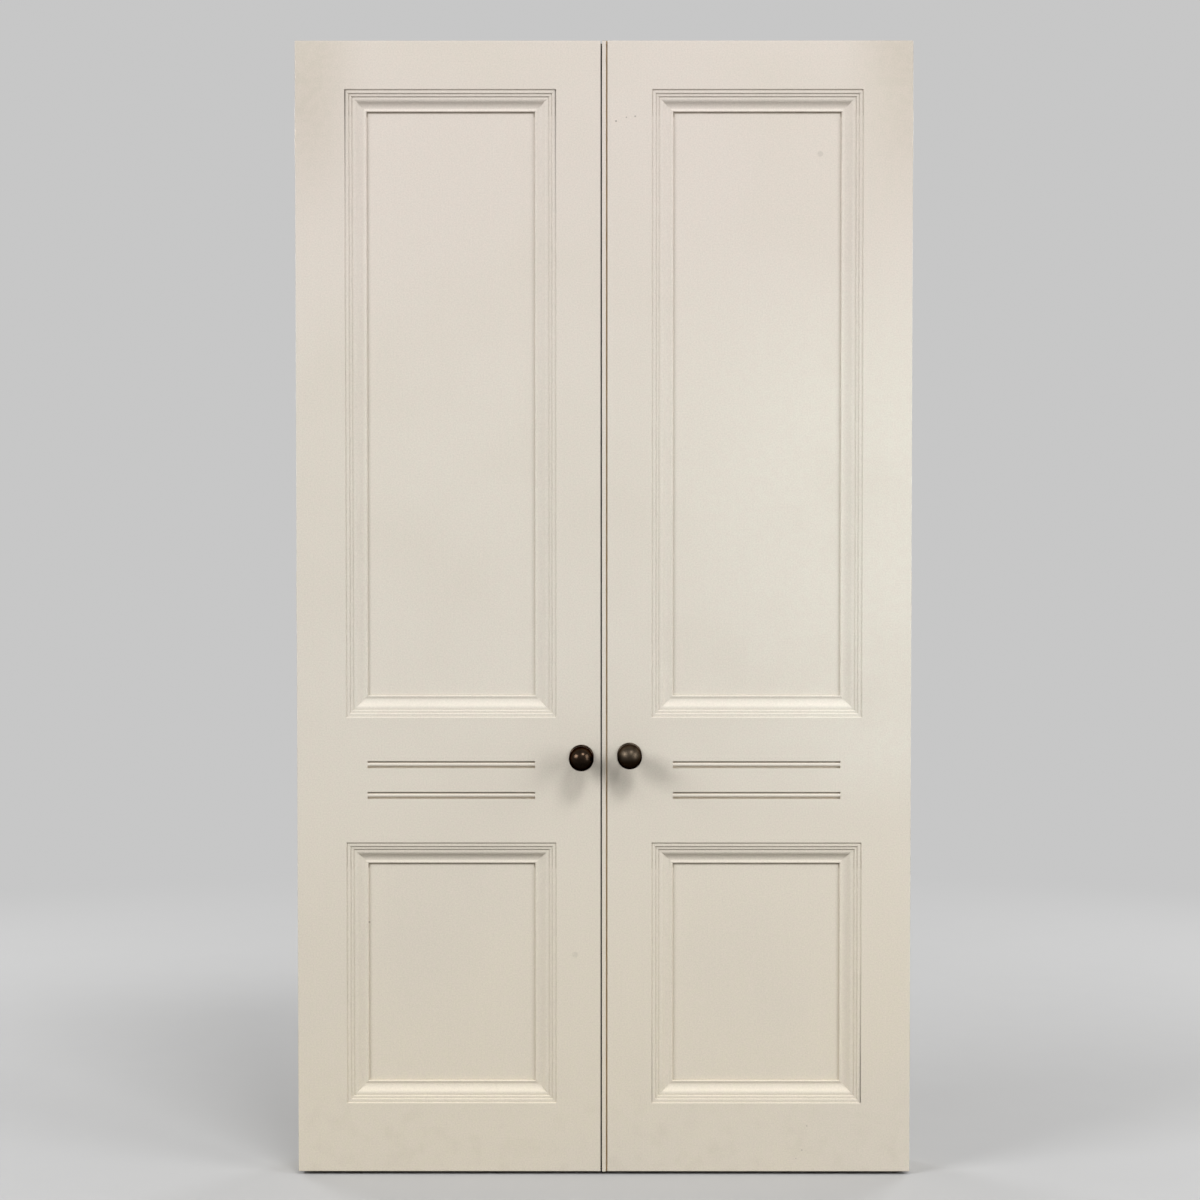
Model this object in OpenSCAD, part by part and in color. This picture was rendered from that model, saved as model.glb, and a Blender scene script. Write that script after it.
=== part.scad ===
// A pair of panelled doors on the frame that carries them.
// Each leaf is framed from stiles and rails, with flat panels in grooves and planted mouldings on the front.
// The leaves lie on the front of the frame and swing forward on butt hinges.
// Millimetres. +X is to the right seen from the front, +Y points from the front to the back, +Z is up.
// The origin is the centre of the threshold's underside.

/* [Leaves] */
// Height of each leaf
leaf_h = 2286; // [2100:1:2500]
// Width of each leaf across its front face
leaf_w = 614; // [560:1:760]
// Thickness of each leaf
leaf_t = 44; // [42:0.5:54]
// Width of the stile that carries the hinges
hanging_stile_w = 100; // [90:1:130]
// Width of the stile at the middle of the pair
meeting_stile_w = 90; // [84:1:120]
// Height of the top rail
top_rail_h = 98; // [86:1:160]
// Height of the rail at hand height
lock_rail_h = 256; // [190:1:320]
// Height of the bottom rail
bottom_rail_h = 141; // [100:1:220]
// Height of the opening between the bottom rail and the lock rail
lower_opening_h = 529; // [350:1:750]

/* [Rail joints] */
// Thickness of the tenons
tenon_t = 14; // [10:0.5:18]
// Length of each tenon
tenon_l = 40; // [30:1:70]
// Distance from a rail's edge to its tenon
tenon_set = 22; // [18:1:28]
// Space between the two tenons of the lock rail
tenon_space = 40; // [20:1:60]

/* [Panels] */
// Thickness of the panels
panel_t = 12; // [8:0.5:14]
// Depth of the panel's face behind the face of the leaf
panel_recess = 18; // [17.5:0.5:22]
// Depth of the groove that holds a panel
groove_d = 12; // [8:0.5:15]
// Room left at each edge of a panel for movement
panel_play = 1; // [0.5:0.1:2]

/* [Panel moulding] */
// Width of the outer fillet
outer_fillet_w = 7.5; // [4:0.5:10]
// Width of the middle fillet
middle_fillet_w = 6; // [4:0.5:10]
// Width of the inner fillet
inner_fillet_w = 3.5; // [2:0.5:8]
// Drop at each of the three steps
fillet_drop = 2.2; // [1:0.1:2.6]
// Width of the S-curve
ogee_w = 20; // [14:0.5:26]
// Drop of the S-curve
ogee_drop = 8.5; // [5:0.1:9]
// Share of the S-curve's width that its round takes, before the hollow
ogee_round_share = 0.35; // [0.25:0.05:0.75]
// Width of the nose beside the panel
nose_w = 5.5; // [3:0.5:10]
// Width of the flat on top of the nose
nose_flat = 2.2; // [0.5:0.1:2.6]
// Rise of the nose towards the panel
nose_rise = 1.4; // [0:0.1:4]

/* [Meeting edges] */
// Gap seen between the leaves
shadow_gap = 3; // [2:0.1:5]
// Gap left between the leaves behind the shadow rebate
running_gap = 1; // [0.6:0.1:1.5]
// Depth of the shadow rebate on the left leaf
shadow_d = 30; // [20:1:34]
// Thickness of the rubber strip that closes the running gap
seal_t = 4; // [3:0.5:5]
// Depth that the strip is let into the left leaf
seal_set = 3; // [2:0.5:5]
// Space between the strip and the right leaf
seal_clear = 0.2; // [0.1:0.05:0.3]
// Width of the bead on the right leaf
meeting_bead_w = 8; // [6:0.5:12]
// Radius of the bead's rounded edges
meeting_bead_r = 1.5; // [1:0.25:3]
// Width of the quirk beside a bead
quirk_w = 3; // [2:0.1:4]
// Depth of the quirk beside the meeting bead
quirk_d = 5; // [3:0.5:8]

/* [Lock rail reeds] */
// Width of each reed
reed_w = 8.5; // [6:0.5:12]
// Thickness of the strip under the round of a reed
reed_base = 2; // [1:0.5:4]
// Distance between the two reeds
reed_spacing = 62.5; // [40:0.5:90]

/* [Knobs] */
// Diameter of the ball
knob_d = 50; // [40:0.5:60]
// Distance from the face of the leaf to the middle of the ball
knob_reach = 44; // [40:0.5:60]
// Diameter of the neck behind the ball
neck_d = 18; // [14:0.5:24]
// Diameter of the collar on the rose
collar_d = 27; // [25:0.5:32]
// Thickness of the collar
collar_t = 3; // [2:0.5:5]
// Diameter of the rose
rose_d = 50; // [40:0.5:60]
// Thickness of the rose
rose_t = 5; // [4:0.5:8]
// Radius of the rounded rim of the rose
rose_rim_r = 3; // [1:0.5:3.5]
// Diameter of the bolt that holds the knob
bolt_d = 6; // [5:0.5:8]
// Diameter of the bolt's head
bolt_head_d = 12; // [10:0.5:16]
// Thickness of the bolt's head
bolt_head_t = 4; // [3:0.5:6]
// Length of the bolt inside the knob
bolt_grip = 14; // [8:1:16]
// Height of the left knob above the foot of its leaf
left_knob_z = 845; // [700:1:1100]
// Height of the right knob above the foot of its leaf
right_knob_z = 849; // [700:1:1100]
// Distance from the left leaf's meeting edge to its knob
left_knob_inset = 38.5; // [32:0.5:56]
// Distance from the right leaf's meeting edge to its knob
right_knob_inset = 44.5; // [32:0.5:56]

/* [Hinges] */
// Length of a hinge
hinge_h = 100; // [80:1:125]
// Width of a hinge plate from the pin to its far edge
hinge_plate_w = 32; // [28:0.5:38]
// Thickness of a hinge plate
hinge_plate_t = 2.5; // [2.2:0.1:3.2]
// Outer diameter of the knuckles
knuckle_d = 11; // [10:0.5:13]
// Diameter of the hinge pin
pin_d = 5.9; // [4:0.1:6]
// Height of the button at each end of the pin
pin_button_h = 2.5; // [2:0.5:4]
// Distance from the top of the leaf to the middle of the top hinge
top_hinge_drop = 180; // [120:1:300]
// Distance from the foot of the leaf to the middle of the bottom hinge
bottom_hinge_rise = 230; // [150:1:350]
// Gap between a closed leaf and the frame
hang_gap = 2; // [1.5:0.1:2.5]

/* [Small screws] */
// Diameter of a small screw
screw_d = 4; // [3:0.1:4.5]
// Diameter of a small screw's head
screw_head_d = 8; // [7:0.1:8.4]
// Length of a small screw
screw_l = 28; // [16:1:32]
// Distance from the far edge of a hinge plate to the nearer screws
screw_inset = 8; // [6:0.5:9]
// Sideways step between the two columns of screws in a hinge plate
screw_stagger = 9; // [6:0.5:10]
// Distance from the end of a hinge plate to its first screw
screw_end = 12; // [8:0.5:16]

/* [Frame] */
// Width of a jamb seen from the front
jamb_w = 45; // [44:1:80]
// Depth of the frame from front to back
jamb_d = 90; // [80:1:140]
// Height of the head
head_h = 45; // [40:1:80]
// Height of the threshold
threshold_h = 20; // [16:1:40]
// Depth of the housings that join the frame
housing_d = 10; // [6:1:14]
// Gap between the floor and the foot of a leaf
floor_gap = 6; // [3:0.5:12]
// Diameter of the screws that join the frame
frame_screw_d = 5; // [4:0.5:6]
// Diameter of their heads
frame_screw_head_d = 10; // [8:0.5:12]
// Length of the screws that join the frame
frame_screw_l = 80; // [60:1:100]
// Distance between the two screws at each joint
frame_screw_spacing = 50; // [30:1:64]

/* [Wall fixings] */
// Diameter of a fixing hole through a jamb
fixing_d = 8; // [6:0.5:10]
// Diameter of the counterbore for a fixing's head
fixing_head_d = 15; // [13:0.5:18]
// Depth of that counterbore
fixing_head_depth = 10; // [6:0.5:14]
// Distance from the middle of the jamb's depth back to the fixings
fixing_y = 18; // [10:0.5:24]
// Distance between the outer two fixings of a jamb
outer_fixing_span = 1640; // [1400:1:1800]
// Distance between the inner two fixings of a jamb
inner_fixing_span = 560; // [300:1:900]

/* [Catches] */
// Distance from the middle of the pair to a catch
catch_x = 62; // [45:1:90]
// Length of the magnet housing
catch_l = 30; // [24:1:40]
// Length of each ear that takes a screw
catch_ear_l = 12; // [11:0.5:16]
// Thickness of the ears
catch_ear_t = 4; // [3.5:0.5:6]
// Depth of a catch from front to back
catch_d = 16; // [14:0.5:24]
// Height of a catch
catch_h = 14; // [10:0.5:18]
// Space between a closed leaf's strike and the magnet
catch_gap = 0.3; // [0.2:0.05:0.5]
// Length of a strike plate
strike_l = 52; // [44:1:60]
// Height of a strike plate
strike_h = 16; // [12:0.5:20]
// Thickness of a strike plate
strike_t = 2.5; // [2.2:0.1:3.5]
// Distance between the two screws of a strike
strike_screw_spacing = 34; // [28:0.5:36]

/* [Fits] */
// Clearance on each face of a tenon, a panel's edge or the rubber strip
joint_clear = 0.2; // [0.1:0.05:0.3]
// Space left past the end of a tenon
tenon_end_clear = 1; // [0.5:0.1:2]
// Clearance round the hinge pin
pin_clear = 0.05; // [0.02:0.01:0.08]
// Gap between the ends of neighbouring knuckles
knuckle_gap = 0.3; // [0.2:0.05:0.5]
// Clearance between a plate and the other plate's knuckles
knuckle_clear = 0.4; // [0.3:0.05:0.6]
// Clearance between the knuckles and the wood
knuckle_relief = 0.6; // [0.4:0.05:1]
// Clearance round a plate that is let in
plate_clear = 0.2; // [0.1:0.05:0.3]
// Clearance round a screw or bolt
screw_clear = 0.1; // [0.05:0.05:0.2]
// Open joint at each mitre of the mouldings
mitre_gap = 0.1; // [0.05:0.05:0.2]

/* [Hidden] */
$fn = 48;
// How far a cut runs past the face that it opens
over = 1;
// Extra radius that keeps the edge of a reed crisp
reed_ease = 0.1;
// Straight pieces that make up each arc of the S-curve
arc_steps = 8;
// Number of knuckles in a hinge, the frame's at both ends
knuckle_count = 5;
// Number of screws in a hinge plate
plate_screws = 4;
// Width and depth of the slot in a screw's head
slot_w = 1;
slot_d = 0.9;
paint = "antiquewhite";
bronze = "darkslategray";
brass = "goldenrod";
steel = "silver";
rubber = "dimgray";

SIDES = ["left", "right"];
total_w = 2 * leaf_w + shadow_gap + meeting_bead_w + quirk_w;
frame_front = -jamb_d / 2;
leaf_back = frame_front - hang_gap;
leaf_front = leaf_back - leaf_t;
leaf_foot = floor_gap;
leaf_top = leaf_foot + leaf_h;
frame_h = leaf_top;
head_foot = frame_h - head_h;
hinge_y = frame_front - hang_gap / 2;
lip_w = shadow_gap - running_gap;

bottom_rail_top = leaf_foot + bottom_rail_h;
lock_rail_foot = bottom_rail_top + lower_opening_h;
lock_rail_top = lock_rail_foot + lock_rail_h;
top_rail_foot = leaf_top - top_rail_h;
bottom_rail_z = [leaf_foot, bottom_rail_top];
lock_rail_z = [lock_rail_foot, lock_rail_top];
top_rail_z = [top_rail_foot, leaf_top];
lower_opening_z = [bottom_rail_top, lock_rail_foot];
upper_opening_z = [lock_rail_top, top_rail_foot];
opening_x = [hanging_stile_w, leaf_w - meeting_stile_w];
panel_front = leaf_front + panel_recess;
tenon_y = leaf_front + (leaf_t - tenon_t) / 2;
lock_tenon_h = (lock_rail_h - 2 * tenon_set - tenon_space) / 2;

fillets_w = outer_fillet_w + middle_fillet_w + inner_fillet_w;
moulding_w = fillets_w + ogee_w + nose_w;
ogee_top = 3 * fillet_drop;
ogee_radii = (ogee_w * ogee_w + ogee_drop * ogee_drop) / (2 * ogee_drop);
ogee_turn = asin(ogee_w / ogee_radii);
round_r = ogee_radii * ogee_round_share;
hollow_r = ogee_radii - round_r;

reed_d = reed_w / 2 + reed_base;
reed_x = [opening_x[0] + moulding_w, opening_x[1] - moulding_w];
lock_rail_middle = (lock_rail_foot + lock_rail_top) / 2;
reed_z = [lock_rail_middle - reed_spacing / 2, lock_rail_middle + reed_spacing / 2];

knuckle_h = hinge_h / knuckle_count;
top_hinge_z = leaf_top - top_hinge_drop;
bottom_hinge_z = leaf_foot + bottom_hinge_rise;
HINGES = [
    ["top", top_hinge_z],
    ["middle", (top_hinge_z + bottom_hinge_z) / 2],
    ["bottom", bottom_hinge_z],
];
screw_pitch = (hinge_h - 2 * screw_end) / (plate_screws - 1);
catch_middle = total_w / 2 - catch_x;
catch_z = head_foot - catch_h / 2;

LEAF_PARTS = [
    "hanging_stile", "meeting_stile", "top_rail", "lock_rail", "bottom_rail", "upper_panel", "lower_panel",
    "upper_moulding", "lower_moulding", "reeds", "rose", "knob", "knob_bolt", "strike", "leaf_screws",
];
HINGE_PARTS = ["hinge_leaf_plate", "hinge_frame_plate", "hinge_pin"];

// Places what is drawn with x running inward from the outer edge of one side
module on_side(side) {
    if (side == "left") {
        translate([-total_w / 2, 0, 0]) children();
    } else {
        translate([total_w / 2, 0, 0]) mirror([1, 0, 0]) children();
    }
}

// A box between two x values and two z values, through the thickness of a leaf
module leaf_box(x, z) {
    translate([x[0], leaf_front, z[0]]) cube([x[1] - x[0], leaf_t, z[1] - z[0]]);
}

// Room for both panels, cut from the stiles and rails as grooves
module panel_slots() {
    for (z = [lower_opening_z, upper_opening_z]) {
        translate([opening_x[0] - groove_d, panel_front - joint_clear, z[0] - groove_d])
            cube([
                opening_x[1] - opening_x[0] + 2 * groove_d,
                panel_t + 2 * joint_clear,
                z[1] - z[0] + 2 * groove_d,
            ]);
    }
}

// Bar that runs through a rail and out at both ends as its tenons
module tenon_bar(foot, h, clear, end_clear) {
    reach = tenon_l + end_clear;
    translate([opening_x[0] - reach, tenon_y - clear, foot - clear])
        cube([opening_x[1] - opening_x[0] + 2 * reach, tenon_t + 2 * clear, h + 2 * clear]);
}

module single_tenon(z, clear = 0, end_clear = 0) {
    tenon_bar(z[0] + tenon_set, z[1] - z[0] - 2 * tenon_set, clear, end_clear);
}

module double_tenon(z, clear = 0, end_clear = 0) {
    for (foot = [z[0] + tenon_set, z[1] - tenon_set - lock_tenon_h]) {
        tenon_bar(foot, lock_tenon_h, clear, end_clear);
    }
}

module mortises() {
    single_tenon(bottom_rail_z, joint_clear, tenon_end_clear);
    double_tenon(lock_rail_z, joint_clear, tenon_end_clear);
    single_tenon(top_rail_z, joint_clear, tenon_end_clear);
}

// Half-round reed, w wide and d deep, its crown at y = 0
module reed_section(w, d) {
    r = w / 2 + reed_ease;
    intersection() {
        translate([-w / 2, -over]) square([w, d + over]);
        union() {
            translate([0, r]) circle(r);
            translate([-w, r]) square([2 * w, d - r]);
        }
    }
}

// Countersunk screw pointing down, the top of its head at z = 0
module screw(d, head_d, l) {
    head_t = (head_d - d) / 2;
    difference() {
        union() {
            translate([0, 0, -head_t]) cylinder(d1 = d, d2 = head_d, h = head_t);
            translate([0, 0, d - l]) cylinder(d = d, h = l - d - head_t);
            translate([0, 0, -l]) cylinder(d1 = d / 4, d2 = d, h = d);
        }
        translate([-head_d, -slot_w / 2, -slot_d]) cube([2 * head_d, slot_w, slot_d + over]);
    }
}

module screw_hole(d, head_d, l) {
    head_t = (head_d - d) / 2;
    translate([0, 0, -head_t]) cylinder(d1 = d + 2 * screw_clear, d2 = head_d + 2 * screw_clear, h = head_t);
    translate([0, 0, -l - screw_clear]) cylinder(d = d + 2 * screw_clear, h = l);
    translate([0, 0, -screw_clear]) cylinder(d = head_d + 2 * screw_clear, h = over);
}

module small_screw() {
    screw(screw_d, screw_head_d, screw_l);
}

module small_screw_hole() {
    screw_hole(screw_d, screw_head_d, screw_l);
}

// Repeats a screw at each hole of a hinge plate, its head level with the plate's open face
module at_plate_screws(on_leaf) {
    for (i = [0 : plate_screws - 1]) {
        x = hinge_plate_w - screw_inset - (i % 2) * screw_stagger;
        z = -hinge_h / 2 + screw_end + i * screw_pitch;
        if (on_leaf) {
            translate([x, -hang_gap / 2, z]) rotate([-90, 0, 0]) children();
        } else {
            translate([x, hang_gap / 2, z]) rotate([90, 0, 0]) children();
        }
    }
}

module knuckle_run(first, d, gap) {
    for (i = [first : 2 : knuckle_count - 1]) {
        translate([0, 0, -hinge_h / 2 + i * knuckle_h + gap / 2]) cylinder(d = d, h = knuckle_h - gap);
    }
}

// The flat of a hinge plate, beside the pin's axis
module plate_flat(on_leaf, grow, open) {
    y = on_leaf ? -hang_gap / 2 - hinge_plate_t : hang_gap / 2 - open;
    translate([0, y, -hinge_h / 2 - grow])
        cube([hinge_plate_w + grow, hinge_plate_t + open, hinge_h + 2 * grow]);
}

// One half of a hinge, its pin on the z axis
module hinge_plate(on_leaf) {
    first = on_leaf ? 1 : 0;
    color(brass) difference() {
        union() {
            plate_flat(on_leaf, 0, 0);
            knuckle_run(first, knuckle_d, knuckle_gap);
        }
        translate([0, 0, -hinge_h]) cylinder(d = pin_d + 2 * pin_clear, h = 2 * hinge_h);
        knuckle_run(1 - first, knuckle_d + 2 * knuckle_clear, -knuckle_gap);
        at_plate_screws(on_leaf) small_screw_hole();
    }
}

module hinge_pin() {
    button_rim = knuckle_d / 2 - pin_button_h / 2;
    color(brass) union() {
        translate([0, 0, -hinge_h / 2]) cylinder(d = pin_d, h = hinge_h);
        for (up = [0, 1]) mirror([0, 0, up]) translate([0, 0, hinge_h / 2]) {
            cylinder(d = knuckle_d, h = pin_button_h / 2);
            translate([0, 0, pin_button_h / 2])
                cylinder(r1 = knuckle_d / 2, r2 = button_rim, h = pin_button_h / 2);
        }
    }
}

// What a hinge takes out of the wood on one side
module hinge_gain(on_leaf) {
    half = hinge_h / 2 + pin_button_h + knuckle_relief;
    translate([0, 0, -half]) cylinder(d = knuckle_d + 2 * knuckle_relief, h = 2 * half);
    plate_flat(on_leaf, plate_clear, over);
    at_plate_screws(on_leaf) small_screw_hole();
}

module at_hinges() {
    for (hinge = HINGES) translate([0, hinge_y, hinge[1]]) children();
}

module hanging_stile() {
    color(paint) difference() {
        leaf_box([0, hanging_stile_w], [leaf_foot, leaf_top]);
        panel_slots();
        mortises();
        at_hinges() hinge_gain(true);
    }
}

function knob_x(side) = leaf_w - (side == "left" ? left_knob_inset : right_knob_inset);
function knob_z(side) = leaf_foot + (side == "left" ? left_knob_z : right_knob_z);

// Places what is drawn along z with its zero on the face of the leaf, pointing forward
module at_knob(side) {
    translate([knob_x(side), leaf_front, knob_z(side)]) rotate([90, 0, 0]) children();
}

// Hole through the stile for a knob's bolt, with a counterbore at the back
module knob_bolt_hole() {
    translate([0, 0, -leaf_t - over]) cylinder(d = bolt_d + 2 * screw_clear, h = leaf_t + 2 * over);
    translate([0, 0, -leaf_t - over]) cylinder(d = bolt_head_d + 2 * screw_clear, h = bolt_head_t + over);
}

module meeting_stile(side) {
    color(paint) difference() {
        union() {
            leaf_box([opening_x[1], leaf_w], [leaf_foot, leaf_top]);
            if (side == "left") {
                translate([opening_x[1], leaf_front + shadow_d, leaf_foot])
                    cube([meeting_stile_w + lip_w, leaf_t - shadow_d, leaf_h]);
            }
        }
        panel_slots();
        mortises();
        strike_cut();
        at_knob(side) knob_bolt_hole();
        if (side == "left") {
            seal_box(joint_clear, over);
        }
    }
}

// The rubber strip in the edge of the lip, grown by a clearance on its three held faces
module seal_box(clear, open) {
    y = leaf_front + shadow_d + (leaf_t - shadow_d - seal_t) / 2;
    translate([leaf_w + lip_w - seal_set - clear, y - clear, leaf_foot - open])
        cube([seal_set + clear + running_gap - seal_clear, seal_t + 2 * clear, leaf_h + 2 * open]);
}

module left_gap_seal() {
    color(rubber) seal_box(0, 0);
}

// Strip on the right leaf's meeting edge, a flat bead with rounded edges beside a quirk
module right_meeting_bead() {
    r = meeting_bead_r;
    bead_x = [quirk_w, quirk_w + meeting_bead_w];
    color(paint) translate([leaf_w, leaf_front, leaf_foot]) linear_extrude(leaf_h) union() {
        for (x = [bead_x[0] + r, bead_x[1] - r]) translate([x, r]) circle(r);
        translate([bead_x[0] + r, 0]) square([meeting_bead_w - 2 * r, leaf_t]);
        translate([bead_x[0], r]) square([meeting_bead_w, leaf_t - r]);
        translate([0, quirk_d]) square([bead_x[1], leaf_t - quirk_d]);
    }
}

module bottom_rail() {
    color(paint) difference() {
        union() {
            leaf_box(opening_x, bottom_rail_z);
            single_tenon(bottom_rail_z);
        }
        panel_slots();
    }
}

module lock_rail(side) {
    groove_h = reed_w + 2 * quirk_w;
    color(paint) difference() {
        union() {
            leaf_box(opening_x, lock_rail_z);
            double_tenon(lock_rail_z);
        }
        panel_slots();
        for (z = reed_z) {
            translate([reed_x[0], leaf_front - over, z - groove_h / 2])
                cube([reed_x[1] - reed_x[0], reed_d + over, groove_h]);
        }
        at_knob(side) knob_bolt_hole();
    }
}

module reeds() {
    color(paint) for (z = reed_z) {
        translate([reed_x[1], leaf_front, z]) rotate([0, -90, 0])
            linear_extrude(reed_x[1] - reed_x[0]) reed_section(reed_w, reed_d);
    }
}

module at_strike_screws() {
    for (step = [-1, 1]) {
        translate([catch_middle + step * strike_screw_spacing / 2, leaf_back, catch_z])
            rotate([-90, 0, 0]) children();
    }
}

module strike_box(grow, open) {
    translate([catch_middle - strike_l / 2 - grow, leaf_back - strike_t, catch_z - strike_h / 2 - grow])
        cube([strike_l + 2 * grow, strike_t + open, strike_h + 2 * grow]);
}

module strike() {
    color(steel) difference() {
        strike_box(0, 0);
        at_strike_screws() small_screw_hole();
    }
}

module top_rail() {
    color(paint) difference() {
        union() {
            leaf_box(opening_x, top_rail_z);
            single_tenon(top_rail_z);
        }
        panel_slots();
        strike_cut();
    }
}

// Recess and holes for the strike, in the meeting stile and the tenon behind it
module strike_cut() {
    strike_box(plate_clear, over);
    at_strike_screws() small_screw_hole();
}

module panel(z) {
    edge = groove_d - panel_play;
    color(paint) translate([opening_x[0] - edge, panel_front, z[0] - edge])
        cube([opening_x[1] - opening_x[0] + 2 * edge, panel_t, z[1] - z[0] + 2 * edge]);
}

// Outline of the moulding: x runs in from the framing, y back from the face of the leaf
module moulding_section() {
    start = [fillets_w, ogee_top];
    finish = [fillets_w + ogee_w, ogee_top + ogee_drop];
    turns = [for (i = [0 : arc_steps]) ogee_turn * i / arc_steps];
    turned = [for (turn = turns) [sin(turn), 1 - cos(turn)]];
    round_over = [for (i = [0 : arc_steps]) start + round_r * turned[i]];
    hollow = [for (i = [0 : arc_steps]) finish - hollow_r * turned[arc_steps - i]];
    polygon(concat(
        [
            [0, panel_recess],
            [0, fillet_drop],
            [outer_fillet_w, fillet_drop],
            [outer_fillet_w, 2 * fillet_drop],
            [outer_fillet_w + middle_fillet_w, 2 * fillet_drop],
            [outer_fillet_w + middle_fillet_w, 3 * fillet_drop],
        ],
        round_over,
        [for (i = [1 : arc_steps]) hollow[i]],
        [
            [moulding_w - nose_flat, finish[1] - nose_rise],
            [moulding_w, finish[1] - nose_rise],
            [moulding_w, panel_recess],
        ]
    ));
}

// One mitred length: x runs along it, z in towards the panel
module moulding_length(l) {
    intersection() {
        translate([l, 0, 0]) rotate([0, -90, 0]) linear_extrude(l) moulding_section();
        translate([0, panel_recess + over, 0]) rotate([90, 0, 0]) linear_extrude(panel_recess + 2 * over)
            polygon([
                [mitre_gap, 0],
                [l - mitre_gap, 0],
                [l - mitre_gap - moulding_w - over, moulding_w + over],
                [mitre_gap + moulding_w + over, moulding_w + over],
            ]);
    }
}

// Four lengths round an opening
module moulding(z) {
    w = opening_x[1] - opening_x[0];
    h = z[1] - z[0];
    color(paint) translate([opening_x[0], leaf_front, z[0]]) {
        moulding_length(w);
        translate([0, 0, h]) mirror([0, 0, 1]) moulding_length(w);
        mirror([1, 0, -1]) moulding_length(h);
        translate([w, 0, 0]) mirror([1, 0, 0]) mirror([1, 0, -1]) moulding_length(h);
    }
}

// Turned rose with a rounded rim
module rose(side) {
    r = rose_d / 2;
    turns = [for (i = [0 : arc_steps]) 90 * i / arc_steps];
    rim_middle = [r - rose_rim_r, rose_t - rose_rim_r];
    rim = [for (turn = turns) rim_middle + rose_rim_r * [cos(turn), sin(turn)]];
    color(bronze) at_knob(side) difference() {
        rotate_extrude() polygon(concat([[0, 0], [r, 0]], rim, [[0, rose_t]]));
        translate([0, 0, -over]) cylinder(d = bolt_d + 2 * screw_clear, h = rose_t + 2 * over);
    }
}

// Turned ball on a neck and collar, with a socket for the bolt
module knob(side) {
    color(bronze) at_knob(side) difference() {
        rotate_extrude() intersection() {
            translate([0, rose_t]) square([knob_d, knob_reach + knob_d]);
            union() {
                translate([0, knob_reach]) circle(d = knob_d);
                translate([0, rose_t]) square([neck_d / 2, knob_reach - rose_t]);
                translate([0, rose_t]) square([collar_d / 2, collar_t]);
            }
        }
        translate([0, 0, -over]) cylinder(d = bolt_d + 2 * screw_clear, h = rose_t + bolt_grip + 2 * over);
    }
}

module knob_bolt(side) {
    seat = bolt_head_t - leaf_t;
    color(steel) at_knob(side) difference() {
        union() {
            translate([0, 0, seat]) cylinder(d = bolt_d, h = rose_t + bolt_grip - seat);
            translate([0, 0, -leaf_t]) cylinder(d = bolt_head_d, h = bolt_head_t);
        }
        translate([-bolt_head_d, -slot_w / 2, -leaf_t - over]) cube([2 * bolt_head_d, slot_w, over + slot_d]);
    }
}

module leaf_screws() {
    color(steel) {
        at_hinges() at_plate_screws(true) small_screw();
        at_strike_screws() small_screw();
    }
}

module at_head_screws() {
    for (step = [-1, 1]) translate([jamb_w / 2, step * frame_screw_spacing / 2, frame_h]) children();
}

module at_threshold_screws() {
    for (step = [-1, 1]) {
        translate([0, step * frame_screw_spacing / 2, threshold_h / 2]) rotate([0, -90, 0]) children();
    }
}

module frame_screw_holes() {
    for (side = SIDES) on_side(side) {
        at_head_screws() screw_hole(frame_screw_d, frame_screw_head_d, frame_screw_l);
        at_threshold_screws() screw_hole(frame_screw_d, frame_screw_head_d, frame_screw_l);
    }
}

module frame_screws() {
    color(steel) for (side = SIDES) on_side(side) {
        at_head_screws() screw(frame_screw_d, frame_screw_head_d, frame_screw_l);
        at_threshold_screws() screw(frame_screw_d, frame_screw_head_d, frame_screw_l);
    }
}

// Holes across a jamb for the fixings into the wall, counterbored on the side of the doorway
module fixing_holes() {
    for (span = [outer_fixing_span, inner_fixing_span]) for (step = [-1, 1]) {
        translate([-over, fixing_y, frame_h / 2 + step * span / 2]) rotate([0, 90, 0]) {
            cylinder(d = fixing_d, h = jamb_w + 2 * over);
            translate([0, 0, jamb_w - fixing_head_depth + over])
                cylinder(d = fixing_head_d, h = fixing_head_depth + over);
        }
    }
}

module jamb(side) {
    color(paint) difference() {
        on_side(side) difference() {
            translate([0, frame_front, 0]) cube([jamb_w, jamb_d, head_foot + housing_d]);
            translate([jamb_w - housing_d, frame_front - over, -over])
                cube([housing_d + over, jamb_d + 2 * over, threshold_h + over]);
            at_hinges() hinge_gain(false);
            fixing_holes();
        }
        frame_screw_holes();
    }
}

module head() {
    color(paint) difference() {
        translate([-total_w / 2, frame_front, head_foot]) cube([total_w, jamb_d, head_h]);
        for (side = SIDES) on_side(side) {
            translate([-over, frame_front - over, head_foot - over])
                cube([jamb_w + over, jamb_d + 2 * over, housing_d + over]);
            at_catch_screws() small_screw_hole();
        }
        frame_screw_holes();
    }
}

module threshold() {
    l = total_w - 2 * (jamb_w - housing_d);
    color(paint) difference() {
        translate([-l / 2, frame_front, 0]) cube([l, jamb_d, threshold_h]);
        frame_screw_holes();
    }
}

module hinge_frame_screws() {
    color(steel) for (side = SIDES) on_side(side) at_hinges() at_plate_screws(false) small_screw();
}

module at_catch_screws() {
    for (step = [-1, 1]) {
        translate([
            catch_middle + step * (catch_l + catch_ear_l) / 2,
            leaf_back + catch_gap + catch_d / 2,
            head_foot - catch_ear_t,
        ]) rotate([180, 0, 0]) children();
    }
}

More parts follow.
